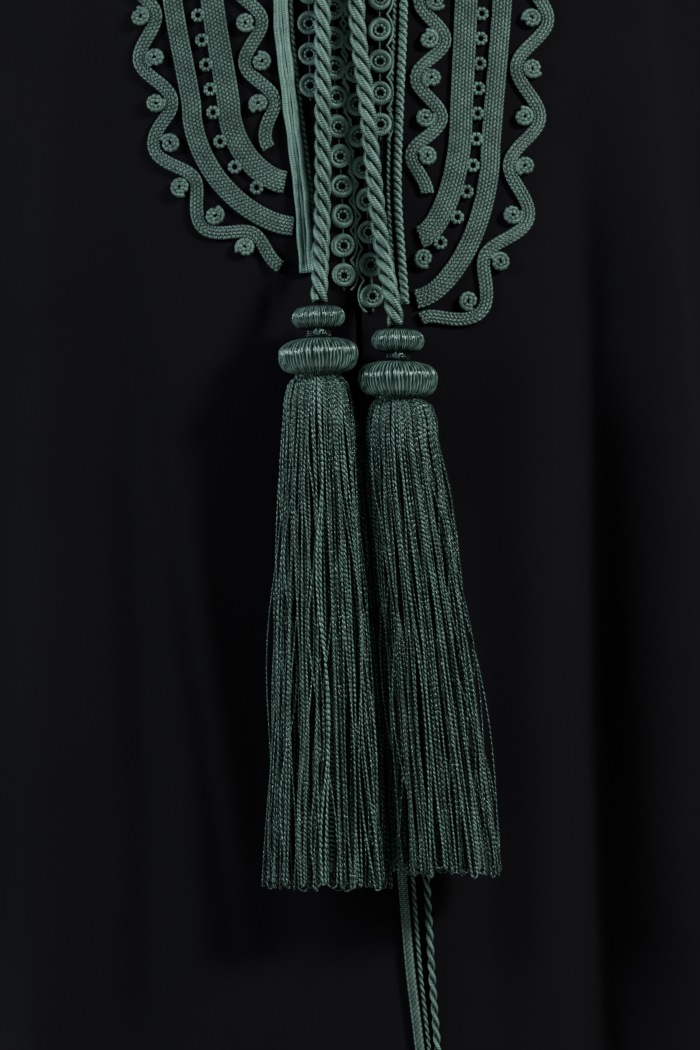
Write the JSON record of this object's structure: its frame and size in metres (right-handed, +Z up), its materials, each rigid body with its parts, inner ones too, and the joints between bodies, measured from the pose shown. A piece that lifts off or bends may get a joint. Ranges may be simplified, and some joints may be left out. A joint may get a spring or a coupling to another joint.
{
  "type": "abaya",
  "caption": "Full-length black abaya in its worn shape, with green braid work and twisted ropes that end in tassels on the chest.",
  "frame": {"origin": "midway between the two neck points, where the wearer's shoulders carry the garment", "axes": "+Z up, the front faces -Y, +X to the right as seen from the front"},
  "size_m": [0.787, 0.4629, 1.4282],
  "materials": {
    "cloth": "matt fine crepe twill",
    "braid": "silky plaited braid",
    "rosette": "silky coiled cord",
    "rope": "silky twisted cord",
    "tassel": "silky twisted thread",
    "tie": "silky braid and twisted cord"
  },
  "bodies": {
    "root": {"front": "cloth", "back": "cloth", "sleeve_left": "cloth", "sleeve_right": "cloth", "braid_outer_left": "braid", "braid_inner_left": "braid", "wave_outer_left": "braid", "wave_inner_left": "braid", "piping_left": "braid", "rosettes_inner_left": "rosette", "rosettes_edge_left": "rosette", "rope_left": "rope", "tassel_left": "tassel", "braid_outer_right": "braid", "braid_inner_right": "braid", "wave_outer_right": "braid", "wave_inner_right": "braid", "piping_right": "braid", "rosettes_inner_right": "rosette", "rosettes_edge_right": "rosette", "rope_right": "rope", "tassel_right": "tassel", "tie_braid": "tie", "tie_strand": "tie", "tie_twist": "tie", "tie_knot": "tie"}
  },
  "joints": []
}
